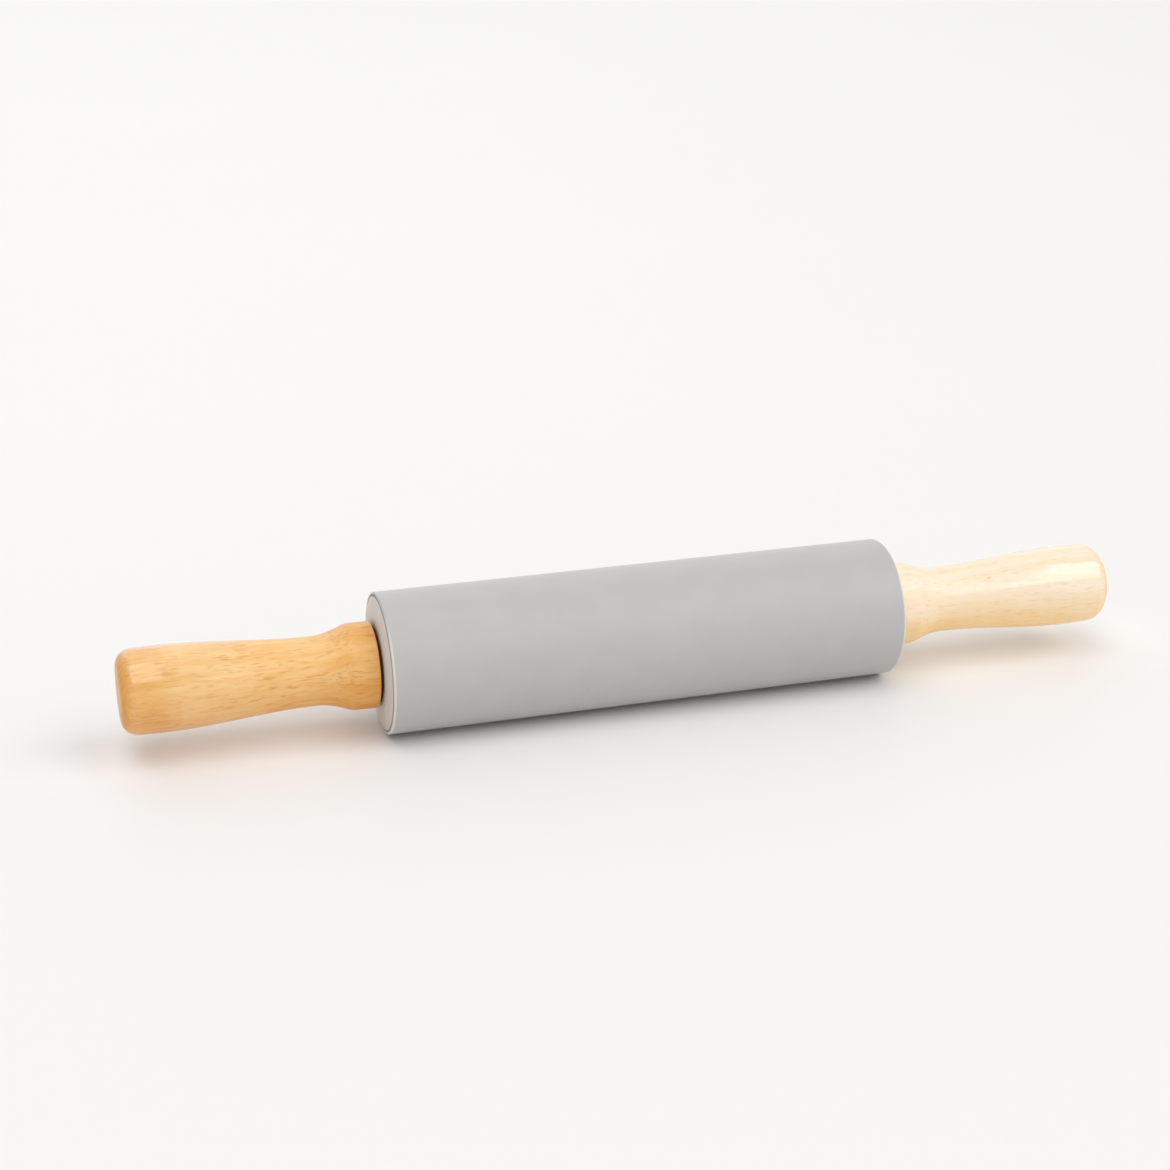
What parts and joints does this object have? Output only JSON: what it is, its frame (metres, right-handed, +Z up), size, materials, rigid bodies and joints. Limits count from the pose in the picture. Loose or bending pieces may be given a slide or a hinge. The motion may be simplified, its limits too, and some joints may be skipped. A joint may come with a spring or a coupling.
{
  "type": "rolling pin",
  "caption": "Rolling pin: a round barrel in a grey silicone sleeve that spins freely on a steel axle between two turned wooden handles, for rolling out dough.",
  "frame": {"origin": "on the surface that the barrel lies on, under the middle of the barrel", "axes": "+X along the axle towards the right handle, +Z up from that surface"},
  "size_m": [0.4038, 0.0548, 0.0549],
  "materials": {
    "silicone": "satin",
    "cap_plastic": "satin",
    "core_plastic": "matte",
    "nylon": "matte",
    "steel": "ground",
    "brass": "plain",
    "wood": "satin lacquer"
  },
  "bodies": {
    "barrel": {"silicone_sleeve": "silicone", "core_tube": "core_plastic", "left_end_cap": "cap_plastic", "right_end_cap": "cap_plastic", "left_bush": "nylon", "right_bush": "nylon"},
    "handle_set": {"axle_rod": "steel", "left_thrust_washer": "nylon", "right_thrust_washer": "nylon", "left_threaded_insert": "brass", "right_threaded_insert": "brass", "left_handle": "wood", "right_handle": "wood"}
  },
  "joints": [
    {"name": "axle_spin", "type": "hinge", "parent": "barrel", "child": "handle_set", "pos_m": [0, 0, 0.02744], "axis": [1, 0, 0], "continuous": true}
  ]
}
